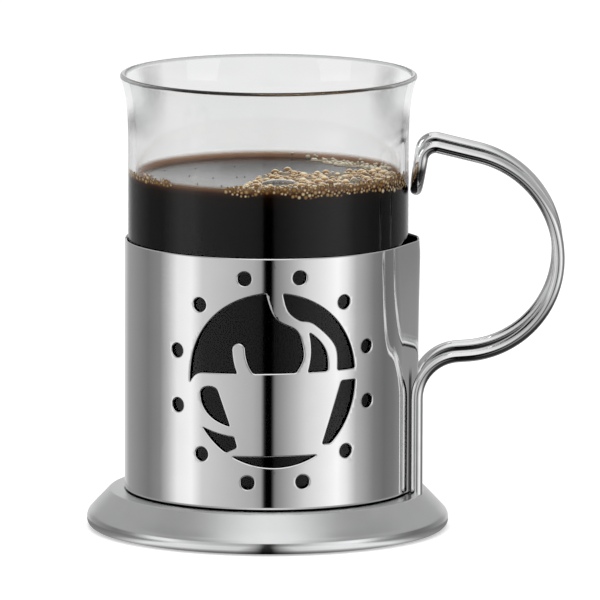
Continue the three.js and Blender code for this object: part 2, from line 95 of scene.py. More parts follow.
class Value:
    """A number, colour or vector on its way through a finish, reckoned with like a plain number."""

    def __init__(self, tree, socket=None):
        self.tree = tree
        self.socket = socket

    def node(self, kind, settings=None, sockets=None, output=0):
        made = self.tree.nodes.new("ShaderNode" + kind)
        for name, setting in (settings or {}).items():
            if name == "stops":
                elements = made.color_ramp.elements
                for place, _ in setting[2:]:
                    elements.new(place)
                for element, (place, shade) in zip(elements, setting):
                    element.position = place
                    element.color = (*shade, 1) if isinstance(shade, tuple) else (shade, shade, shade, 1)
            else:
                setattr(made, name, setting)
        for name, value in (sockets or {}).items():
            if isinstance(value, Value):
                self.tree.links.new(value.socket, made.inputs[name])
            else:
                made.inputs[name].default_value = value
        return Value(self.tree, made.outputs[output] if made.outputs else None)

    def math(self, operation, first, second=0.0):
        return self.node("Math", {"operation": operation}, {0: first, 1: second})

    def __add__(self, other):
        return self.math("ADD", self, other)

    def __sub__(self, other):
        return self.math("SUBTRACT", self, other)

    def __rsub__(self, other):
        return self.math("SUBTRACT", other, self)

    def __mul__(self, other):
        return self.math("MULTIPLY", self, other)

    __radd__ = __add__
    __rmul__ = __mul__

    def between(self, low, high, first=0.0, last=1.0):
        """Runs smoothly from first to last as the value goes from low to high."""
        ends = {"Value": self, 1: low, 2: high, 3: first, 4: last}
        return self.node("MapRange", {"interpolation_type": "SMOOTHSTEP"}, ends)

    def blend(self, first, second):
        """The colour that goes from first to second as the value goes from 0 to 1."""
        return self.node("Mix", {"data_type": "RGBA"}, {0: self, 6: first, 7: second}, 2)


def new_finish(piece, name):
    """An empty material on the piece. Gives the start of its nodes and the Object coordinates."""
    material = bpy.data.materials.new(name)
    material.use_nodes = True
    material.node_tree.nodes.clear()
    piece.data.materials.clear()
    piece.data.materials.append(material)
    start = Value(material.node_tree)
    return start, start.node("TexCoord", output="Object")


def grain(place, scale, detail=3.0, stretch=(1, 1, 1)):
    """Soft noise with about that many grains to the metre, drawn out along an axis."""
    placed = place.node("Mapping", None, {"Vector": place, "Scale": stretch})
    noise = {"Vector": placed, "Scale": scale, "Detail": detail, "Roughness": 0.55}
    return place.node("TexNoise", None, noise)


def close_finish(shader):
    shader.node("OutputMaterial", None, {"Surface": shader})


POLE = 0.4
GROOVE_DEPTH = 0.5
pad_section = [(POLE, 0)]
for groove_inside, groove_outside in ((26.1, 28.1), (34.1, 36.1)):
    pad_section += [(groove_inside, 0, 0.3), (groove_inside, GROOVE_DEPTH, 0.2)]
    pad_section += [(groove_outside, GROOVE_DEPTH, 0.2), (groove_outside, 0, 0.3)]
pad_section += [(42.1, 0, 0.3), (42.1, 1.1), (43.2, 1.1, 0.2), (43.2, 2, 0.3), (POLE, 2)]
foot_pad = raise_rings("foot_pad_rubber", rounded(pad_section, 0.4), closed=False)
rubber, place = new_finish(foot_pad, "black_rubber")
speckle = grain(place, 1400)
dust = grain(place, 90)
close_finish(rubber.node("BsdfPrincipled", None, {
    "Base Color": dust.between(0.45, 0.8).blend((0.011, 0.011, 0.012, 1), (0.03, 0.03, 0.031, 1)),
    "Roughness": 0.7 + speckle * 0.2,
    "Normal": rubber.node("Bump", None, {"Strength": 0.25, "Distance": 0.0001, "Height": speckle}),
}))
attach(foot_pad, "holder")
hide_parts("foot_pad")


# Foot: a dish pressed from stainless sheet, with a boss for the sleeve, a conical skirt and a rolled hem.
# Its skirt is satin finished in the lathe, so the fine brush lines run round the axis.
# The joint under the sleeve is painted near black, a painted shadow of the gap there.
FOOT_SHEET = 0.8
FOOT_TOP = 9.6
BOSS_TOP = 10.1
SCREW_HOLE = 2.15
# Near black for the painted shadow in the gaps at the sleeve.
PAINTED_GAP_SHADE = (0.02, 0.02, 0.02, 1)


def sheet(face, thickness):
    """The closed section of a sheet whose outer face is given and whose thickness lies to the left of it."""
    back = []
    for i, point in enumerate(face):
        before = point - face[i - 1] if i else face[1] - point
        after = face[i + 1] - point if i + 1 < len(face) else before
        left = (before / abs(before) + after / abs(after)) * 1j
        back.append(point + left * 2 * thickness / abs(left) ** 2)
    return face + back[::-1] + [face[0]]


def along_axes(place):
    """The three numbers of a place, one for each axis."""
    split = place.node("SeparateXYZ", None, {"Vector": place})
    return [Value(place.tree, output) for output in split.socket.node.outputs]


foot_face = rounded([
    (42.4, 0.3), (45.2, 0.3, 1.85), (45.2, 3.7, 2.5), (39.6, FOOT_TOP, 0.8),
    (30.6, FOOT_TOP, 0.15), (30.6, BOSS_TOP, 0.15), (SCREW_HOLE, BOSS_TOP),
], 0.12)
foot = raise_rings("foot_satin_dish", sheet(foot_face, FOOT_SHEET), sides=180)
satin, place = new_finish(foot, "satin_steel")
x, y, _ = along_axes(place)
radius = satin.math("SQRT", x * x + y * y)
brushed = satin.node("TexNoise", {"noise_dimensions": "1D"}, {"W": radius, "Scale": 5200.0, "Detail": 2.0})
cloud = grain(place, 60)
steel = cloud.between(0.3, 0.7).blend((0.77, 0.775, 0.78, 1), (0.82, 0.825, 0.83, 1))
# Inside the sleeve's radius the foot is painted near black, a painted shadow in the gap under the sleeve.
close_finish(satin.node("BsdfPrincipled", None, {
    "Base Color": radius.between(0.0358, 0.036).blend(PAINTED_GAP_SHADE, steel),
    "Metallic": 1.0,
    "Roughness": radius.between(0.0425, 0.0447, 0.22, 0.1) + brushed * 0.05 + cloud * 0.03,
    "Normal": satin.node("Bump", None, {"Strength": 0.03, "Distance": 0.00002, "Height": brushed}),
}))
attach(foot, "holder")
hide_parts("base_shell")


# Screw, washer and nut: zinc-plated fasteners that clamp seat plate, sleeve and foot together.
# Only the slotted head shows, and only when the glass is out.
for name in ("base_screw", "base_washer", "base_nut"):
    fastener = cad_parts[name]
    zinc, place = new_finish(fastener, "zinc_" + name)
    spangle = grain(place, 700)
    close_finish(zinc.node("BsdfPrincipled", None, {
        "Base Color": spangle.between(0.3, 0.7).blend((0.40, 0.42, 0.45, 1), (0.56, 0.57, 0.57, 1)),
        "Metallic": 1.0,
        "Roughness": 0.3 + spangle * 0.2,
    }))


# Sleeve: one strip of stainless sheet, pierced flat, rolled to a tube and mirror polished.
# Its lower edge is curled in to a flange under the seat plate, and a channel is pressed out at the handle.
import numpy as np

SLEEVE_RADIUS = 35.8
ROLLED_RADIUS = 35.55
SLEEVE_SHEET = 0.5
SLEEVE_TOP = 72.9
CURL = 1.0
FLANGE_INSIDE = 31
# How far a place lies from a cut edge, and how much the polishing has taken off there.
WORN_EDGE = [(0.34, 0), (0.17, 0.03), (0.06, 0.09), (0, 0.19)]
# The channel: its crest widens and rises above a soft bend, and leans back at the very top.
CHANNEL_CREST = 37.65
CHANNEL_HALF_WIDTH = 1.3
CHANNEL_BEND = 50
BEND_SOFTNESS = 10
CREST_RISE = 0.019
CREST_WIDENING = 0.09
LEAN_START = 69.5
TOP_LEAN = 0.3
CREST_SOFTNESS = 0.4
# The window and the ring of holes round it. The figure's own heights are in units of the window's radius.
WINDOW_RADIUS = 21.8
WINDOW_HEIGHT = 42.4
WINDOW_SHIFT = 1.5
WINDOW_TILT = math.radians(0.95)
WINDOW_CORNER = 0.55
RING_MARGIN = 4.6
RING_HOLE_RADIUS = 1.75
RING_HOLES = 12
RIM = 0.083
BAND = -0.046
SAUCER = -0.872
BOWL_FOOT = -0.752


def arc(first, last, centre=0, radius=1, steps=24):
    return [centre + cmath.rect(radius, first + (last - first) * k / steps) for k in range(steps + 1)]


def bow(first, pull, last, steps=12):
    return [first * (1 - t) ** 2 + 2 * pull * t * (1 - t) + last * t * t
            for t in np.linspace(0, 1, steps + 1)]


def ribbon(points, steps=8):
    """A smooth line through the points."""
    line = []
    padded = [points[0]] + points + [points[-1]]
    for a, b, c, d in zip(padded, padded[1:], padded[2:], padded[3:]):
        for t in np.arange(steps) / steps:
            line.append(b + (c - a) * t / 2 + (2 * a - 5 * b + 4 * c - d) * t ** 2 / 2
                        + (3 * b - a - 3 * c + d) * t ** 3 / 2)
    return line + [points[-1]]


def across_at(height):
    return math.sqrt(1 - height * height)


def window_cuts():
    """The cut-outs of the window, in units of its radius: what is left is a cup with spoon and steam."""
    spoon = -0.394 + 0.358j
    spoon_radius = 0.073
    steam_left = complex(-0.073, across_at(0.073))
    steam_right = complex(0.119, across_at(0.119))
    ear_top = math.pi * 1.013
    beside_spoon = [-0.82 + RIM * 1j]
    beside_spoon += bow(-0.413 + RIM * 1j, -0.462 + 0.2j, spoon - spoon_radius)
    beside_spoon += arc(math.pi, 0, spoon, spoon_radius, 12)
    beside_spoon += bow(spoon + spoon_radius, -0.318 + 0.2j, -0.229 + RIM * 1j)
    beside_spoon += ribbon([0.261 + RIM * 1j, 0.353 + 0.28j, 0.275 + 0.555j, 0.032 + 0.711j, steam_left])
    beside_spoon += arc(cmath.phase(steam_left), ear_top, steps=40)
    beside_spoon += bow(cmath.rect(1, ear_top), -0.94 + RIM * 1j, -0.82 + RIM * 1j)
    beside_steam = arc(math.asin(RIM), cmath.phase(steam_right), steps=36)
    beside_steam += ribbon([steam_right, 0.174 + 0.798j, 0.307 + 0.683j, 0.477 + 0.633j, 0.734 + 0.367j,
                            0.761 + RIM * 1j])
    within_steam = bow(0.638 + RIM * 1j, 0.68 + 0.36j, 0.417 + 0.537j)
    within_steam += bow(0.417 + 0.537j, 0.47 + 0.3j, 0.394 + RIM * 1j)
    beside_bowl = [0.807 + BAND * 1j, 0.555 + BOWL_FOOT * 1j]
    beside_bowl += arc(math.asin(BOWL_FOOT), math.asin(BAND))
    within_ear = bow(-0.642 - 0.128j, -0.665 - 0.078j, -0.745 - 0.076j)
    within_ear += bow(-0.745 - 0.076j, -0.86 - 0.078j, -0.867 - 0.183j)
    within_ear += bow(-0.867 - 0.183j, -0.83 - 0.45j, -0.505 - 0.528j)
    ear_foot = math.pi * 1.183
    below_ear = [-0.427 - 0.766j]
    below_ear += bow(-0.459 - 0.647j, -0.65 - 0.63j, cmath.rect(1, ear_foot))
    below_ear += arc(ear_foot, math.pi * 1.31)
    saucer = arc(math.pi - math.asin(SAUCER), 2 * math.pi + math.asin(SAUCER))
    cuts = [beside_spoon, beside_steam, within_steam, beside_bowl, within_ear, below_ear, saucer]
    return [[point * WINDOW_RADIUS for point in cut] for cut in cuts]


def tidy_loop(points, rounding):
    """A closed loop running anticlockwise, without doubled points, its sharp corners rounded off."""
    loop = [p for i, p in enumerate(points) if abs(p - points[i - 1]) > 0.02]
    if sum((a.conjugate() * b).imag for a, b in zip(loop, loop[1:] + loop[:1])) < 0:
        loop.reverse()
    runs = [abs(b - a) for a, b in zip(loop, loop[1:] + loop[:1])]
    places = np.concatenate([[0], np.cumsum(runs)])
    length = places[-1]
    closed = np.array(loop + loop[:1])

    def at(where):
        where = where % length
        return complex(np.interp(where, places, closed.real), np.interp(where, places, closed.imag))

    def turn_at(i):
        ahead = loop[(i + 1) % len(loop)] - loop[i]
        return abs(cmath.phase(ahead / (loop[i] - loop[i - 1])))

    corners = [i for i in range(len(loop)) if turn_at(i) > 0.5]
    smooth = []
    for i, point in enumerate(loop):
        gaps = [abs((places[i] - places[c] + length / 2) % length - length / 2) for c in corners]
        if i in corners:
            smooth += bow(at(places[i] - rounding), point, at(places[i] + rounding), 5)
        elif min(gaps, default=length) > rounding + 0.02:
            smooth.append(point)
    return smooth


def widened(loop, distance):
    """The loop moved outwards by a distance."""
    wider = []
    for i, point in enumerate(loop):
        before = point - loop[i - 1]
        after = loop[(i + 1) % len(loop)] - point
        right = (before / abs(before) + after / abs(after)) * -1j
        wider.append(point + right * 2 * distance / abs(right) ** 2)
    return wider


cut_loops = [tidy_loop(cut, WINDOW_CORNER) for cut in window_cuts()]
for i in range(RING_HOLES):
    hole_middle = cmath.rect(WINDOW_RADIUS + RING_MARGIN, math.radians(360 / RING_HOLES * (i + 0.5)))
    cut_loops.append(arc(0, 2 * math.pi, hole_middle, RING_HOLE_RADIUS, 32)[:-1])
askew = cmath.rect(1, WINDOW_TILT)
pierced = [[point * askew + WINDOW_SHIFT for point in loop] for loop in cut_loops]

half_width = math.pi * ROLLED_RADIUS
wall_foot = FOOT_TOP + CURL
half_field = 33
flat_points = [complex(-half_field, wall_foot), complex(half_field, wall_foot),
               complex(half_field, SLEEVE_TOP), complex(-half_field, SLEEVE_TOP)]
sunk = [0.0] * 4
edges = [(0, 1), (1, 2), (2, 3), (3, 0)]
faces = []
for loop in pierced:
    loop = [point + WINDOW_HEIGHT * 1j for point in loop]
    count = len(loop)
    first = len(flat_points)
    edges += [(first + k, first + (k + 1) % count) for k in range(count)]
    for distance, depth in WORN_EDGE:
        flat_points += widened(loop, distance)
        sunk += [depth] * count
    for row in range(len(WORN_EDGE) - 1):
        low = first + row * count
        for k in range(count):
            along = (k + 1) % count
            faces.append((low + k, low + along, low + along + count, low + k + count))

bpy.ops.object.select_all(action="DESELECT")
blank = bpy.data.meshes.new("sleeve_polished_tube")
blank.from_pydata([(p.real, 0, p.imag) for p in flat_points], edges, faces)
blank.attributes.new("sunk", "FLOAT", "POINT").data.foreach_set("value", sunk)
sleeve = bpy.data.objects.new("sleeve_polished_tube", blank)
bpy.context.collection.objects.link(sleeve)
bpy.context.view_layer.objects.active = sleeve
sleeve.select_set(True)


def pick(piece, keep):
    """Goes into edit mode with the vertices selected whose place passes the test."""
    bpy.ops.object.mode_set(mode="EDIT")
    bpy.ops.mesh.select_mode(type="VERT")
    bpy.ops.mesh.select_all(action="DESELECT")
    bpy.ops.object.mode_set(mode="OBJECT")
    for vertex in piece.data.vertices:
        vertex.select = keep(vertex)
    bpy.ops.object.mode_set(mode="EDIT")


def cut_row(z):
    bpy.ops.mesh.bisect(plane_co=(0, 0, z), plane_no=(0, 0, 1))


def cut_column(x):
    bpy.ops.mesh.select_all(action="SELECT")
    bpy.ops.mesh.bisect(plane_co=(x, 0, 0), plane_no=(1, 0, 0))


outer_loops = {i for edge in edges for i in edge}
pick(sleeve, lambda vertex: vertex.index in outer_loops)
bpy.ops.mesh.fill(use_beauty=False)
for side in (-1, 1):
    pick(sleeve, lambda vertex: vertex.co.x * side > half_field - 0.01)
    plain_width = side * (half_width - half_field)
    bpy.ops.mesh.extrude_edges_move(TRANSFORM_OT_translate={"value": (plain_width, 0, 0)})
for distance, _ in WORN_EDGE[:-1]:
    bpy.ops.mesh.select_all(action="SELECT")
    cut_row(SLEEVE_TOP - distance)

# Rows only where the sheet bends or is pierced, then columns all round, closer together at the flanks.
channel_middle = ROLLED_RADIUS * math.pi / 2
channel_reach = 18
cut_column(channel_middle - channel_reach)
cut_column(channel_middle + channel_reach)
for z in [30, *range(36, 72, 2), 71, 72]:
    pick(sleeve, lambda vertex: abs(vertex.co.x - channel_middle) < channel_reach + 0.01)
    cut_row(z)
for k in range(40):
    pick(sleeve, lambda vertex: abs(vertex.co.x) < half_field + 0.01)
    cut_row(12 + 1.5 * k)
columns = 320
for k in range(1, columns):
    cut_column(half_width * (2 * k / columns - 1))
for side in (-1, 1):
    for start, step, count in ((1, 0.2, 14), (12.2, 0.3, 12)):
        for k in range(count):
            cut_column(channel_middle + side * (start + step * k))
bpy.ops.object.mode_set(mode="OBJECT")


def flank_turn(half_width, crest, radius):
    """How far round from the handle a straight flank that starts at the crest's edge meets the tube."""
    return np.arctan2(half_width, crest) + np.arccos(radius / np.hypot(half_width, crest))


flat = np.empty(len(blank.vertices) * 3)
blank.vertices.foreach_get("co", flat)
flat = flat.reshape(-1, 3)
depth = np.empty(len(flat))
blank.attributes["sunk"].data.foreach_get("value", depth)
along, _, height = flat.T
from_edge, worn = zip(*WORN_EDGE[::-1])
depth = np.maximum(depth, np.interp(SLEEVE_TOP - height, from_edge, worn))
radius = SLEEVE_RADIUS - depth
round_x = radius * np.sin(along / ROLLED_RADIUS)
round_y = -radius * np.cos(along / ROLLED_RADIUS)
above_bend = (height - CHANNEL_BEND + np.hypot(height - CHANNEL_BEND, BEND_SOFTNESS)) / 2
lean = np.interp(height, [LEAN_START, SLEEVE_TOP], [0, TOP_LEAN])
crest = CHANNEL_CREST + above_bend * CREST_RISE - lean - depth
half_crest = CHANNEL_HALF_WIDTH + above_bend * CREST_WIDENING
turn = flank_turn(half_crest, crest, radius)
flank = (radius - np.abs(round_y) * np.sin(turn)) / np.cos(turn)
channel = (crest + flank - np.hypot(crest - flank, CREST_SOFTNESS)) / 2
pressed = (round_x > 0) & (np.abs(round_y) < radius * np.sin(turn))
round_x = np.where(pressed, np.maximum(channel, round_x), round_x)
blank.vertices.foreach_set("co", (np.column_stack([round_x, round_y, height]) * MM).ravel())
blank.update()

bpy.ops.object.mode_set(mode="EDIT")
bpy.ops.mesh.select_all(action="SELECT")
bpy.ops.mesh.remove_doubles(threshold=1e-6)
bpy.ops.mesh.normals_make_consistent(inside=False)
pick(sleeve, lambda vertex: vertex.co.z < (wall_foot + 0.01) * MM)
curl = rounded([
    (SLEEVE_RADIUS, wall_foot), (SLEEVE_RADIUS, FOOT_TOP, CURL * 0.999), (FLANGE_INSIDE, FOOT_TOP),
])
for here, there in zip(curl, curl[1:]):
    extrude_ring(here, there)
bpy.ops.mesh.select_all(action="SELECT")
bpy.ops.mesh.remove_doubles(threshold=1e-6)
bpy.ops.mesh.normals_make_consistent(inside=False)
bpy.ops.object.mode_set(mode="OBJECT")
if sum(face.normal.x * face.center.x + face.normal.y * face.center.y for face in blank.polygons) < 0:
    bpy.ops.object.mode_set(mode="EDIT")
    bpy.ops.mesh.select_all(action="SELECT")
    bpy.ops.mesh.flip_normals()
    bpy.ops.object.mode_set(mode="OBJECT")
wall = sleeve.modifiers.new("wall", "SOLIDIFY")
wall.thickness = SLEEVE_SHEET * MM
wall.offset = -1
bpy.ops.object.modifier_apply(modifier="wall")
bpy.ops.object.shade_smooth_by_angle(angle=math.radians(35))

polished, place = new_finish(sleeve, "polished_steel")
buffed = grain(place, 500, stretch=(1, 1, 0.06))
haze = grain(place, 45)
swell = grain(place, 28, 1.0, (1, 1, 0.35))
# Painted shadow: thin bands beside the handle's legs, up to about 40 mm, and the lower part of the curl are
# painted near black, for the shade in the gaps between wire, sheet and foot.
leg_joint = 0.0072
x, y, z = along_axes(place)
from_leg = polished.math("ABSOLUTE", polished.math("ABSOLUTE", y) - leg_joint)
shade_beside_leg = from_leg.between(0.0008, 0.0011, 1.0, 0.0) * x.between(0.03, 0.031)
shade_beside_leg = shade_beside_leg * z.between(0.038, 0.042, 1.0, 0.0)
painted_shade_mask = polished.math("MAXIMUM", shade_beside_leg, z.between(0.0098, 0.01, 1.0, 0.0))
bright = haze.between(0.3, 0.7).blend((0.82, 0.82, 0.825, 1), (0.87, 0.87, 0.87, 1))
close_finish(polished.node("BsdfPrincipled", None, {
    "Base Color": painted_shade_mask.blend(bright, PAINTED_GAP_SHADE),
    "Metallic": 1.0,
    "Roughness": 0.02 + buffed * 0.04 + haze * 0.02,
    "Normal": polished.node("Bump", None, {"Strength": 0.1, "Distance": 0.0006, "Height": swell}),
}))
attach(sleeve, "holder")
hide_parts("sleeve")


# Handle: a single round wire bent double and bright plated, its legs welded to the sleeve beside the channel.
# The bow runs over to a hook, and the hairpin end of the wire lies against the glass.
WIRE_RADIUS = 1.5
HALF_SPACING = 8.5
HOOK_BEND = 3.4
HAIRPIN_STEPS = 32
leg_reach = SLEEVE_RADIUS + 1.4
hairpin = complex(36.8, SLEEVE_TOP + 12.4)
hook = complex(38.8, SLEEVE_TOP + 24.9)
down = (hairpin - hook) / abs(hairpin - hook)
turn_start = hairpin - down * HALF_SPACING
shoulder = (leg_reach, SLEEVE_TOP - 29.3, 10.7)
lower_bow = (SLEEVE_RADIUS + 38.4, SLEEVE_TOP - 26.6, 24.4)
upper_bow = (SLEEVE_RADIUS + 35.0, SLEEVE_TOP + 17.2, 26)
run = rounded([
    (leg_reach, FOOT_TOP), shoulder, lower_bow, upper_bow, (hook.real, hook.imag, HOOK_BEND),
    (turn_start.real, turn_start.imag),
], 0.06)
wire_path = [(p.real, -HALF_SPACING, p.imag) for p in run]
for k in range(1, HAIRPIN_STEPS):
    lap = math.pi * k / HAIRPIN_STEPS
    dip = turn_start + down * HALF_SPACING * math.sin(lap)
    wire_path.append((dip.real, -HALF_SPACING * math.cos(lap), dip.imag))
wire_path += [(p.real, HALF_SPACING, p.imag) for p in reversed(run)]

bpy.ops.object.select_all(action="DESELECT")
bpy.ops.curve.primitive_nurbs_path_add()
handle = bpy.context.object
handle.name = handle.data.name = "handle_bright_wire"
handle.data.splines.clear()
wire = handle.data.splines.new("POLY")
wire.points.add(len(wire_path) - 1)
for knot, (x, y, z) in zip(wire.points, wire_path):
    knot.co = (x * MM, y * MM, z * MM, 1)
handle.data.bevel_depth = WIRE_RADIUS * MM
handle.data.bevel_resolution = 7
handle.data.use_fill_caps = True
bpy.ops.object.convert(target="MESH")
bpy.ops.object.mode_set(mode="EDIT")
bpy.ops.mesh.select_all(action="SELECT")
bpy.ops.mesh.remove_doubles(threshold=1e-7)
bpy.ops.mesh.normals_make_consistent(inside=False)
bpy.ops.object.mode_set(mode="OBJECT")
bpy.ops.object.shade_smooth_by_angle(angle=math.radians(40))

plated, place = new_finish(handle, "bright_plating")
drawn = grain(place, 260)
close_finish(plated.node("BsdfPrincipled", None, {
    "Base Color": drawn.between(0.3, 0.7).blend((0.84, 0.845, 0.85, 1), (0.89, 0.89, 0.89, 1)),
    "Metallic": 1.0,
    "Roughness": 0.04 + drawn * 0.05,
}))
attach(handle, "holder")
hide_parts("handle_wire")


# Seat plate: a shallow dish of satin steel sheet that clamps the sleeve's flange to the foot.
# It carries the cushion that the glass stands on.
SEAT_SHEET = 0.8
SEAT_RADIUS = 34.9
SEAT_LIP = 12.1
seat_face = rounded([(SCREW_HOLE, BOSS_TOP), (SEAT_RADIUS, BOSS_TOP, 1.6), (SEAT_RADIUS, SEAT_LIP)])
seat = raise_rings("seat_satin_plate", sheet(seat_face, SEAT_SHEET))
plate, place = new_finish(seat, "seat_steel")
rolled = grain(place, 400, stretch=(1, 0.1, 1))
close_finish(plate.node("BsdfPrincipled", None, {
    "Base Color": rolled.between(0.3, 0.7).blend((0.56, 0.565, 0.57, 1), (0.64, 0.645, 0.65, 1)),
    "Metallic": 1.0,
    "Roughness": 0.26 + rolled * 0.1,
}))
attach(seat, "holder")
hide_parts("seat_plate")


# Cushion: a flat ring of milky silicone, so that glass doesn't stand on steel.
# It is moulded with slightly rounded edges and lies loose in the seat plate.
CUSHION_FOOT = 10.9
CUSHION_TOP = 12.1
CUSHION_EDGE = 0.3
cushion = raise_rings("cushion_ring", rounded([
    (27, CUSHION_FOOT), (30.5, CUSHION_FOOT, CUSHION_EDGE), (30.5, CUSHION_TOP, CUSHION_EDGE),
    (24.5, CUSHION_TOP, CUSHION_EDGE), (24.5, CUSHION_FOOT, CUSHION_EDGE), (27, CUSHION_FOOT),
]))
silicone, place = new_finish(cushion, "milky_silicone")
bloom = grain(place, 300)
close_finish(silicone.node("BsdfPrincipled", None, {
    "Base Color": bloom.between(0.3, 0.7).blend((0.66, 0.66, 0.62, 1), (0.74, 0.74, 0.71, 1)),
    "Roughness": 0.45 + bloom * 0.2,
}))
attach(cushion, "holder")
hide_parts("glass_cushion")


# Glass: clear pressed glass with a thick floor, a straight wall and a flared, fire-polished lip.
# It stands loose in the holder and lifts straight out.
GLASS_FOOT = 12.3
GLASS_FLOOR = 15.9
GLASS_OUTSIDE = 35
GLASS_INSIDE = 33.2
GLASS_HEEL = 4
PUNT_RADIUS = 21
PUNT_DEPTH = 1.2
HALF_WALL = 0.9
LIP_THINNING = 0.25
FLARE_START = 96
FLARE_STEPS = 16
LIP_STEPS = 12
flare = [complex(34.1, 97), complex(34.1, 104.425), complex(34.8175, 110.53), complex(36.15, 113.5)]


def flare_at(t):
    a, b, c, d = flare
    place = a * (1 - t) ** 3 + 3 * b * t * (1 - t) ** 2 + 3 * c * t * t * (1 - t) + d * t ** 3
    ahead = (b - a) * (1 - t) ** 2 + 2 * (c - b) * t * (1 - t) + (d - c) * t * t
    return place, ahead / abs(ahead)


def outside_flare(t):
    place, ahead = flare_at(t)
    return place - ahead * HALF_WALL * 1j


def inside_flare(t):
    place, ahead = flare_at(t)
    return place + ahead * (HALF_WALL - LIP_THINNING * t * t) * 1j


def over_lip(turn):
    half_way = (outside_flare(1) - inside_flare(1)) / 2
    upwards = flare_at(1)[1] * HALF_WALL
    return inside_flare(1) + half_way * (1 + math.cos(turn)) + upwards * math.sin(turn)


punt_top = GLASS_FOOT + PUNT_DEPTH
outer_wall = rounded([
    (POLE, punt_top), (PUNT_RADIUS - PUNT_DEPTH, punt_top, 0.8), (PUNT_RADIUS, GLASS_FOOT, 0.6),
    (GLASS_OUTSIDE, GLASS_FOOT, GLASS_HEEL), (GLASS_OUTSIDE, FLARE_START),
])
inner_wall = rounded([
    (GLASS_INSIDE, FLARE_START), (GLASS_INSIDE, GLASS_FLOOR, GLASS_HEEL), (POLE, GLASS_FLOOR),
])
glass_section = outer_wall + [outside_flare(k / FLARE_STEPS) for k in range(FLARE_STEPS + 1)]
glass_section += [over_lip(math.pi * k / LIP_STEPS) for k in range(1, LIP_STEPS)]
glass_section += [inside_flare(1 - k / FLARE_STEPS) for k in range(FLARE_STEPS + 1)] + inner_wall
glass = raise_rings("glass_clear_liner", glass_section, sides=192, closed=False)
clear, place = new_finish(glass, "clear_glass")
smear = grain(place, 70, stretch=(1, 1, 0.4))
_, _, height = along_axes(place)
wall_tint = smear.between(0.3, 0.7).blend((0.92, 0.925, 0.925, 1), (0.94, 0.94, 0.94, 1))
# The rounded top of the lip is tinted grey, a painted shade that darkens the lip's line.
solid = clear.node("BsdfPrincipled", None, {
    "Base Color": height.between(0.1135, 0.1139).blend(wall_tint, (0.45, 0.46, 0.47, 1)),
    "Roughness": smear.between(0.62, 0.9, 0.0, 0.02),
    "IOR": 1.38,
    "Transmission Weight": 1.0,
})
# Side on, the flare would trap its light and turn black, so part of it is a plain thin pane.
side_on = clear.node("LayerWeight", None, {"Blend": 0.5}, "Facing").between(0.3, 0.6)
thin = height.between(0.098, 0.107, 0.0, 0.9) * height.between(0.1133, 0.1137, 1.0, 0.0) * side_on
pane = clear.node("BsdfTransparent", None, {"Color": (0.932, 0.935, 0.935, 1)})
close_finish(clear.node("MixShader", None, {0: thin, 1: solid, 2: pane}))
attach(glass, "glass")
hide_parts("glass_liner")


# Coffee: the drink in the glass, nearly black in the depth, brown and clear where it climbs the wall.
# It reaches a hair into the glass, as a wet wall has no air behind it.
COFFEE_LEVEL = 88.7
COFFEE_REACH = 33.24
COFFEE_FLOOR = 15.86
CLIMB = 2.0
CLIMB_WIDTH = 3.0
DISH = 0.9
FILM_DEPTH = 4.5
coffee_section = rounded([
    (POLE, COFFEE_FLOOR), (COFFEE_REACH, COFFEE_FLOOR, GLASS_HEEL), (COFFEE_REACH, COFFEE_LEVEL + CLIMB),
])
for t in np.linspace(0.06, 1, 14):
    coffee_section.append(complex(COFFEE_REACH - CLIMB_WIDTH * t, COFFEE_LEVEL + CLIMB * (1 - t) ** 3))
still_reach = COFFEE_REACH - CLIMB_WIDTH
for r in np.linspace(29.5, POLE, 40):
    coffee_section.append(complex(r, COFFEE_LEVEL + DISH * ((r / still_reach) ** 2 - 1)))
coffee = raise_rings("coffee", coffee_section, sides=160, closed=False)
brew, place = new_finish(coffee, "black_coffee")
_, _, height = along_axes(place)
swirl = grain(place, 120)
rise = (height - (COFFEE_LEVEL - FILM_DEPTH) * MM) * (1 / ((FILM_DEPTH + CLIMB) * MM))
wall_film = brew.node("ValToRGB", {"stops": [
    (0, (0.0012, 0.0008, 0.0006)), (0.53, (0.008, 0.0035, 0.002)), (0.68, (0.045, 0.018, 0.008)),
    (0.76, (0.17, 0.075, 0.032)), (0.86, (0.38, 0.21, 0.105)), (1, (0.72, 0.57, 0.4))]}, {0: rise})
body = brew.node("BsdfPrincipled", None, {
    "Base Color": wall_film,
    "Roughness": 0.5 + swirl * 0.1,
    "Specular IOR Level": 0.0,
    "Alpha": rise.between(0.74, 1.0, 1.0, 0.0),
})
surface = brew.node("BsdfPrincipled", None, {
    "Base Color": swirl.between(0.3, 0.7).blend((0.009, 0.004, 0.002, 1), (0.014, 0.006, 0.003, 1)),
    "Roughness": 0.02 + swirl * 0.02,
    "IOR": 1.33,
    "Specular Tint": (0.9, 0.97, 1.0, 1),
})
_, _, faces_up = along_axes(brew.node("NewGeometry", output="Normal"))
close_finish(brew.node("MixShader", None, {0: faces_up.between(0.93, 0.995), 1: body, 2: surface}))
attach(coffee, "glass")


# Foam: golden bubbles that gather at the front and right of the drink and along its edge.
# They stand on the surface packed side by side, and those at the front cling to the glass.
import random

FOAM_REACH = 32.9
BUBBLE_SINK = 0.25
TRIES = 14
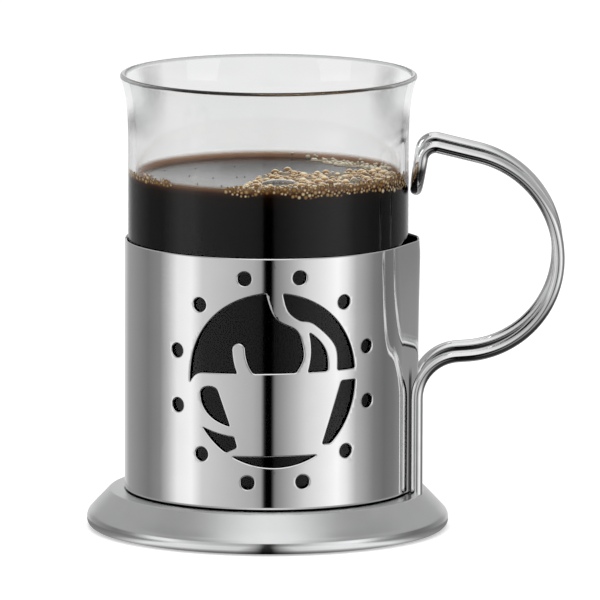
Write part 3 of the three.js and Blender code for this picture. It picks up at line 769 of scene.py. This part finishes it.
# Outlines on the surface in shares of its reach, x to the handle and y to the back.
front_patch = [
    -0.33 - 0.91j, -0.27 - 0.69j, -0.19 - 0.49j, -0.115 - 0.24j, -0.07 + 0.03j, -0.02 + 0.15j, 0.04 + 0.3j,
    0.117 + 0.36j, 0.195 + 0.33j, 0.29 + 0.2j, 0.44 + 0.27j, 0.55 + 0.17j, 0.66 + 0.3j, 0.8 + 0.3j,
    0.86 + 0.2j, 0.97 + 0.1j, 0.97 - 0.2j, 0.85 - 0.5j, 0.6 - 0.79j, 0.3 - 0.95j, -0.99j]
left_patch = [-0.99 + 0.08j, -0.93 - 0.32j, -0.68 - 0.72j, -0.63 - 0.66j, -0.86 - 0.3j, -0.93 + 0.06j]
back_patch = [
    0.15 + 0.985j, 0.287 + 0.91j, 0.41 + 0.76j, 0.505 + 0.62j, 0.66 + 0.5j, 0.75 + 0.42j, 0.86 + 0.27j,
    0.96 + 0.2j, 0.9 + 0.43j, 0.75 + 0.65j, 0.5 + 0.86j, 0.3 + 0.95j]
# Each patch with the radius of its smallest and largest bubble, their number, and how pale they are.
foam_patches = [
    (front_patch, 0.5, 1.3, 640, 0), (left_patch, 0.34, 0.65, 80, 0), (back_patch, 0.36, 0.75, 300, 1),
]
# The place of each large bubble, its radius and its height.
large_bubbles = [(0.085 - 0.365j, 4.85, 1.4), (0.118 + 0.107j, 1.4, 1.5), (0.17 - 0.925j, 1.75, 1.6),
                 (0.48 + 0.01j, 1.4, 1.5), (0.565 + 0.045j, 1.15, 1.2), (0.574 - 0.2j, 1.1, 1.1),
                 (0.666 - 0.38j, 2.0, 1.6), (-0.03 + 0j, 1.0, 1.0), (0.3 - 0.1j, 0.9, 0.9)]
# Single small bubbles out on the open drink.
specks = [-0.8 + 0.27j, -0.56 + 0.42j, -0.42 - 0.01j, -0.24 + 0.06j, -0.18 + 0.08j, -0.35 - 0.47j,
          -0.53 - 0.38j, -0.26 + 0.56j, -0.6 + 0.05j]
# How far below the surface the bubbles on the glass hang, by degrees round from the front.
hanging_turns = [-18, -12, -5, 0, 4, 12, 18, 26, 32, 40, 48, 60, 73, 86]
hanging_ends = [0.3, -0.6, -0.75, 0.5, 0.3, -0.85, -1.2, -0.75, -1.0, -0.55, -0.6, -1.4, -2.0, -1.6]


def within(patch, point):
    ahead = patch[1:] + patch[:1]
    return abs(sum(cmath.phase((b - point) / (a - point)) for a, b in zip(patch, ahead))) > 3


def lift_at(spot):
    """The height of the drink's surface, which is a little dished and climbs at the wall."""
    dip = DISH * (min(1, abs(spot) / still_reach) ** 2 - 1)
    return COFFEE_LEVEL + dip + CLIMB * max(0, 1 - (COFFEE_REACH - abs(spot)) / CLIMB_WIDTH) ** 3


chance = random.Random(11)
taken = [(place * FOAM_REACH, size) for place, size, _ in large_bubbles]
floating = [(place * FOAM_REACH, 0.2, 0.2, 0) for place in specks]
for patch, smallest, largest, wanted, paleness in foam_patches:
    made = 0
    for _ in range(wanted * TRIES):
        spot = complex(chance.uniform(-1, 1), chance.uniform(-1, 1))
        size = smallest + (largest - smallest) * chance.random() ** 1.8
        if made == wanted or abs(spot) * FOAM_REACH > FOAM_REACH - size * 0.5 or not within(patch, spot):
            continue
        spot *= FOAM_REACH
        others = np.array(taken)
        if np.all(np.abs(others[:, 0] - spot) > 0.86 * (others[:, 1].real + size)):
            taken.append((spot, size))
            floating.append((spot, size, chance.uniform(0.55, 1), paleness))
            made += 1

bed_pitch = 0.045
bed_shake = 0.015
bedded = []
for patch, _, _, _, paleness in foam_patches:
    for x in np.arange(-1, 1, bed_pitch):
        for y in np.arange(-1, 1, bed_pitch):
            shaken_x = x + chance.uniform(-bed_shake, bed_shake)
            shaken_y = y + chance.uniform(-bed_shake, bed_shake)
            spot = complex(shaken_x, shaken_y)
            gaps = [abs(spot - place) * FOAM_REACH - size for place, size, _ in large_bubbles]
            if min(gaps) > 0.3 and abs(spot) < 0.97 and within(patch, spot):
                bedded.append((spot * FOAM_REACH, chance.uniform(0.22, 0.36), paleness))

clinging = []
for first, last, wanted in ((-18, 86, 380), (-88, -45, 60)):
    for _ in range(wanted * TRIES):
        turn = chance.uniform(first, last)
        size = 0.34 + 0.36 * chance.random() ** 2
        lowest = np.interp(turn, hanging_turns, hanging_ends) if turn > first > -45 else 0.5
        spot = complex(COFFEE_REACH * math.radians(turn), chance.uniform(lowest, CLIMB - 0.2))
        near = [1 for other, other_size, _ in clinging if abs(other - spot) < 0.9 * (size + other_size)]
        if wanted and not near:
            clinging.append((spot, size, chance.uniform(0.5, 0.95)))
            wanted -= 1

bpy.ops.object.select_all(action="DESELECT")
bpy.ops.mesh.primitive_ico_sphere_add(subdivisions=2, radius=1)
foam = bpy.context.object
foam.name = foam.data.name = "coffee_foam"
bpy.ops.object.mode_set(mode="EDIT")
bpy.ops.mesh.select_all(action="SELECT")
bpy.ops.mesh.bisect(plane_co=(0, 0, -BUBBLE_SINK), plane_no=(0, 0, 1), use_fill=True, clear_inner=True)
bpy.ops.mesh.select_all(action="SELECT")
bpy.ops.mesh.quads_convert_to_tris()
bpy.ops.object.mode_set(mode="OBJECT")
dome = np.array([tuple(vertex.co) for vertex in foam.data.vertices])
dome_faces = np.array([tuple(face.vertices) for face in foam.data.polygons])
# Each bubble is painted lighter towards its top and darker at its base, painted light and shade, times a
# random tone.
crown = np.clip((dome[:, 2] + BUBBLE_SINK) / (1 + BUBBLE_SINK), 0, 1)
bed_dome = dome * [1.35, 1.35, 0.16]
points = []
shine = []
pale = []
for spot, size, tone, paleness in floating:
    points.append(dome * size + [spot.real, spot.imag, lift_at(spot)])
    shine.append(crown * tone)
    pale.append(np.full(len(dome), paleness))
# The bed between the bubbles has a low random tone, so it is painted dark brown, a painted shade between
# them.
for spot, tone, paleness in bedded:
    points.append(bed_dome + [spot.real, spot.imag, lift_at(spot)])
    shine.append(np.full(len(dome), tone))
    pale.append(np.full(len(dome), paleness))
for spot, size, tone in clinging:
    turn = spot.real / COFFEE_REACH
    radius = COFFEE_REACH - 0.02 + 0.16 * dome[:, 2]
    along = turn + dome[:, 0] * size / COFFEE_REACH
    points.append(np.column_stack([radius * np.sin(along), -radius * np.cos(along),
                                   COFFEE_LEVEL + spot.imag - dome[:, 1] * size]))
    shine.append(crown * tone)
    pale.append(np.zeros(len(dome)))
triangles = [dome_faces + k * len(dome) for k in range(len(points))]
foam.data.clear_geometry()
foam.data.from_pydata((np.concatenate(points) * MM).tolist(), [], np.concatenate(triangles).tolist())
foam.data.attributes.new("shine", "FLOAT", "POINT").data.foreach_set("value", np.concatenate(shine))
foam.data.attributes.new("pale", "FLOAT", "POINT").data.foreach_set("value", np.concatenate(pale))
bpy.ops.object.mode_set(mode="EDIT")
bpy.ops.mesh.select_all(action="SELECT")
bpy.ops.mesh.normals_make_consistent(inside=False)
bpy.ops.object.mode_set(mode="OBJECT")
bpy.ops.object.shade_smooth()

froth, place = new_finish(foam, "golden_foam")
tone_with_painted_light = froth.node("Attribute", {"attribute_name": "shine"}, output="Fac")
paling = froth.node("Attribute", {"attribute_name": "pale"}, output="Fac")
# In both ramps the low values are painted shade and the top stop a cream painted highlight.
golden = froth.node("ValToRGB", {"stops": [
    (0.06, (0.02, 0.008, 0.002)), (0.32, (0.16, 0.066, 0.012)),
    (0.62, (0.48, 0.25, 0.05)), (0.88, (1.0, 0.86, 0.55))]}, {0: tone_with_painted_light})
milky = froth.node("ValToRGB", {"stops": [
    (0.05, (0.12, 0.085, 0.05)), (0.35, (0.34, 0.28, 0.18)),
    (0.65, (0.62, 0.56, 0.43)), (0.95, (0.88, 0.85, 0.75))]}, {0: tone_with_painted_light})
# Painted sheen: the base colour turns cream where a bubble's skin is seen side on, on the lighter parts of
# the bubbles.
painted_rim_sheen = froth.node("LayerWeight", None, {"Blend": 0.5}, "Facing").between(0.44, 0.64)
painted_rim_sheen = painted_rim_sheen * tone_with_painted_light.between(0.3, 0.5)
close_finish(froth.node("BsdfPrincipled", None, {
    "Base Color": painted_rim_sheen.blend(paling.blend(golden, milky), (1.0, 0.93, 0.72, 1)),
    "Roughness": 0.06 + grain(place, 900) * 0.08,
    "IOR": 1.4,
}))
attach(foam, "glass")


# Large bubbles: a few thin, clear domes of froth water among the foam, flattened by their own weight.
# The skin is painted cream where it is seen side on and where it stands on the drink, a painted highlight.
SKIN_SINK = 0.1
FOOT_RIM = 0.4
bpy.ops.object.select_all(action="DESELECT")
domes = []
for spot, size, rise_of_dome in large_bubbles:
    spot *= FOAM_REACH
    bpy.ops.mesh.primitive_uv_sphere_add(segments=40, ring_count=24, radius=size * MM)
    bpy.ops.object.mode_set(mode="EDIT")
    bpy.ops.mesh.select_all(action="SELECT")
    bpy.ops.mesh.bisect(plane_co=(0, 0, -SKIN_SINK * size * MM), plane_no=(0, 0, 1), clear_inner=True)
    bpy.ops.mesh.select_all(action="SELECT")
    bpy.ops.transform.resize(value=(1, 1, rise_of_dome / size), center_override=(0, 0, 0))
    bpy.ops.transform.translate(value=(spot.real * MM, spot.imag * MM, lift_at(spot) * MM))
    bpy.ops.object.mode_set(mode="OBJECT")
    domes.append(bpy.context.object)
for dome_piece in domes:
    dome_piece.select_set(True)
bpy.ops.object.join()
bubble_skins = bpy.context.object
bubble_skins.name = bubble_skins.data.name = "coffee_bubbles"
bpy.ops.object.shade_smooth()
foot_rim = []
for vertex in bubble_skins.data.vertices:
    x, y, z = vertex.co / MM
    foot_rim.append(min(1, max(0, 1.4 - (z - lift_at(complex(x, y))) / FOOT_RIM)))
bubble_skins.data.attributes.new("foot_rim", "FLOAT", "POINT").data.foreach_set("value", foot_rim)
skin, place = new_finish(bubble_skins, "bubble_skin")
edge_on = skin.node("LayerWeight", None, {"Blend": 0.5}, "Facing")
at_foot = skin.node("Attribute", {"attribute_name": "foot_rim"}, output="Fac").between(0.3, 0.7)
tint = grain(place, 350)
# The skin's grey is a painted reflection.
painted_reflection_grey = tint.blend((0.2, 0.21, 0.2, 1), (0.3, 0.31, 0.3, 1))
# Painted highlight: the outline and the foot of each dome turn cream and nearly opaque.
painted_highlight_outline = skin.math("MAXIMUM", edge_on.between(0.8, 0.88), at_foot)
close_finish(skin.node("BsdfPrincipled", None, {
    "Base Color": painted_highlight_outline.blend(painted_reflection_grey, (1.0, 0.92, 0.72, 1)),
    "Roughness": 0.02 + tint * 0.03,
    "IOR": 1.4,
    "Alpha": skin.math("MAXIMUM", edge_on.between(0.6, 0.88, 0.35, 0.95), at_foot * 0.95),
}))
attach(bubble_skins, "glass")


# Stage: a pale floor, a plain soft studio round the mug, three lamps and a camera with a long lens.
# The studio has bright panels beside a narrow dark gap at the camera, and a strip of light overhead.
# Polished metal sees the floor only close by, and past that the studio's lower half.
bpy.ops.object.select_all(action="DESELECT")
bpy.ops.mesh.primitive_circle_add(vertices=64, radius=2.5, fill_type="NGON")
floor = bpy.context.object
floor.name = "floor"
ground, place = new_finish(floor, "pale_floor")
rays = ground.node("LightPath").socket.node.outputs
looked_at = Value(ground.tree, rays["Is Camera Ray"])
mirrored = Value(ground.tree, rays["Is Glossy Ray"])
matt = ground.node("BsdfDiffuse", None, {"Color": (0.8, 0.8, 0.8, 1)})
glow = ground.node("Emission", None, {"Color": (1, 1, 1, 1), "Strength": looked_at * 0.45})
open_floor = ground.node("AddShader", None, {0: matt, 1: glow})
even = ground.node("Emission", None, {"Color": (0.89, 0.89, 0.89, 1)})
seen_through = Value(ground.tree, rays["Is Transmission Ray"])
open_floor = ground.node("MixShader", None, {0: seen_through, 1: open_floor, 2: even})
sideways, _, _ = along_axes(place)
beside_foot = ground.node("ValToRGB", {"stops": [
    (0, 0.2), (0.1, 0.3), (0.18, 0.95), (0.42, 0.75), (0.465, 0.3), (0.487, 0.02), (0.513, 0.02),
    (0.535, 0.3), (0.58, 0.75), (0.7, 0.95), (0.82, 0.95), (0.9, 0.3), (1, 0.2)]}, {0: sideways * 10 + 0.5})
# Seen in polished metal, the floor close by glows as painted light in bands, dark straight in front, and
# darker still where rays meet it right at the foot, a painted contact shadow.
reach = Value(ground.tree, rays["Ray Length"])
painted_contact_shadow = reach.between(0.0004, 0.0022, 0.12, 1.0)
in_rim = ground.node("Emission", None, {"Color": beside_foot, "Strength": painted_contact_shadow})
passed = ground.node("BsdfTransparent")
close_by = reach.between(0.012, 0.02, 1.0, 0.0)
in_mirror = ground.node("MixShader", None, {0: close_by, 1: passed, 2: in_rim})
close_finish(ground.node("MixShader", None, {0: mirrored, 1: open_floor, 2: in_mirror}))

world = bpy.data.worlds.new("studio")
bpy.context.scene.world = world
world.use_nodes = True
world.node_tree.nodes.clear()
studio = Value(world.node_tree)
way_x, way_y, way_z = along_axes(studio.node("TexCoord", output="Generated"))
bearing = studio.math("ARCTAN2", way_x, 0 - way_y) * (0.5 / math.pi) + 0.5
# Degrees round from the camera, and how bright the panel is there.
panels = [(-180, 0.8), (-162, 0.6), (-150, 0.36), (-112, 0.21), (-97, 0.28), (-88, 0.55), (-78, 0.95),
          (-64, 1.05), (-54, 0.7), (-12, 0.48), (-5.5, 0.37), (-2.6, 0.0), (3.4, 0.0), (6, 0.24), (14, 0.39),
          (22, 0.54), (31, 0.74), (58, 1.1), (66, 0.92), (76, 0.5), (95, 0.23), (108, 0.17), (122, 0.2),
          (150, 0.36), (162, 0.6), (180, 0.8)]
panel_stops = [(0.5 + turn / 360, level) for turn, level in panels]
round_about = studio.node("ValToRGB", {"stops": panel_stops}, {0: bearing})
off_middle = studio.math("ABSOLUTE", way_x)
overhead = studio.node("ValToRGB", {"stops": [
    (0, 0.95), (0.15, 0.88), (0.27, 0.72), (0.45, 0.38), (0.7, 0.33), (1, 0.3)]}, {0: off_middle})
from_behind = way_z.between(0.6, 0.82).blend((0.42, 0.42, 0.42, 1), overhead)
front_arch = studio.node("ValToRGB", {"stops": [
    (0, 0.95), (0.2, 0.9), (0.45, 0.62), (0.7, 0.38), (1, 0.33)]}, {0: off_middle})
from_above = (0 - way_y).between(0.05, 0.45).blend(from_behind, front_arch)
raised = way_z.between(0.14, 0.3).blend(round_about, from_above)
below = studio.math("MAXIMUM", way_z.between(-0.66, -0.24, 0.04, 1.0), way_y.between(0.0, 0.25, 0.0, 0.5))
multiply = {"data_type": "RGBA", "blend_type": "MULTIPLY"}
panelled = studio.node("Mix", multiply, {0: 1.0, 6: raised, 7: below}, 2)
rays = studio.node("LightPath").socket.node.outputs
backdrop = way_z.between(0.13, 0.27).blend((0.89, 0.89, 0.89, 1), (0.3, 0.3, 0.3, 1))
behind_glass = Value(studio.tree, rays["Is Transmission Ray"]).blend(panelled, backdrop)
all_round = Value(studio.tree, rays["Is Camera Ray"]).blend(behind_glass, (1, 1, 1, 1))
light = studio.node("Background", None, {"Color": all_round})
studio.node("OutputWorld", None, {"Surface": light})

for name, place, turn, size, power in (
    ("overhead_lamp", (0, -0.1, 1.2), (0, 0, 0), 0.9, 6.0),
    ("left_lamp", (-1.1, -0.7, 0.6), (math.radians(65), 0, math.radians(-57)), 0.7, 3.0),
    ("right_lamp", (1.1, -0.7, 0.6), (math.radians(65), 0, math.radians(57)), 0.7, 3.0),
):
    bpy.ops.object.light_add(type="AREA", location=place, rotation=turn)
    lamp = bpy.context.object
    lamp.name = name
    lamp.data.size = size
    lamp.data.energy = power
    lamp.visible_glossy = False

from mathutils import Matrix, Vector

LIFT = math.radians(8.8)
ROLL = math.radians(0.17)
DISTANCE = 3.0
back = Vector((0, -math.cos(LIFT), math.sin(LIFT)))
right = Vector((1, 0, 0))
up = back.cross(right)
tilted_right = right * math.cos(ROLL) + up * math.sin(ROLL)
tilted_up = up * math.cos(ROLL) - right * math.sin(ROLL)
aim = Vector((0, 0, 0.057)) + tilted_right * 0.00797 + tilted_up * 0.00015
bpy.ops.object.camera_add(location=aim + back * DISTANCE)
camera = bpy.context.object
facing = Matrix((tilted_right, tilted_up, back)).transposed().to_4x4()
camera.matrix_world = Matrix.Translation(aim + back * DISTANCE) @ facing
camera.data.sensor_width = 36
camera.data.lens = 720.6
camera.data.clip_end = 20
bpy.context.scene.camera = camera
bpy.context.scene.view_settings.view_transform = "Standard"
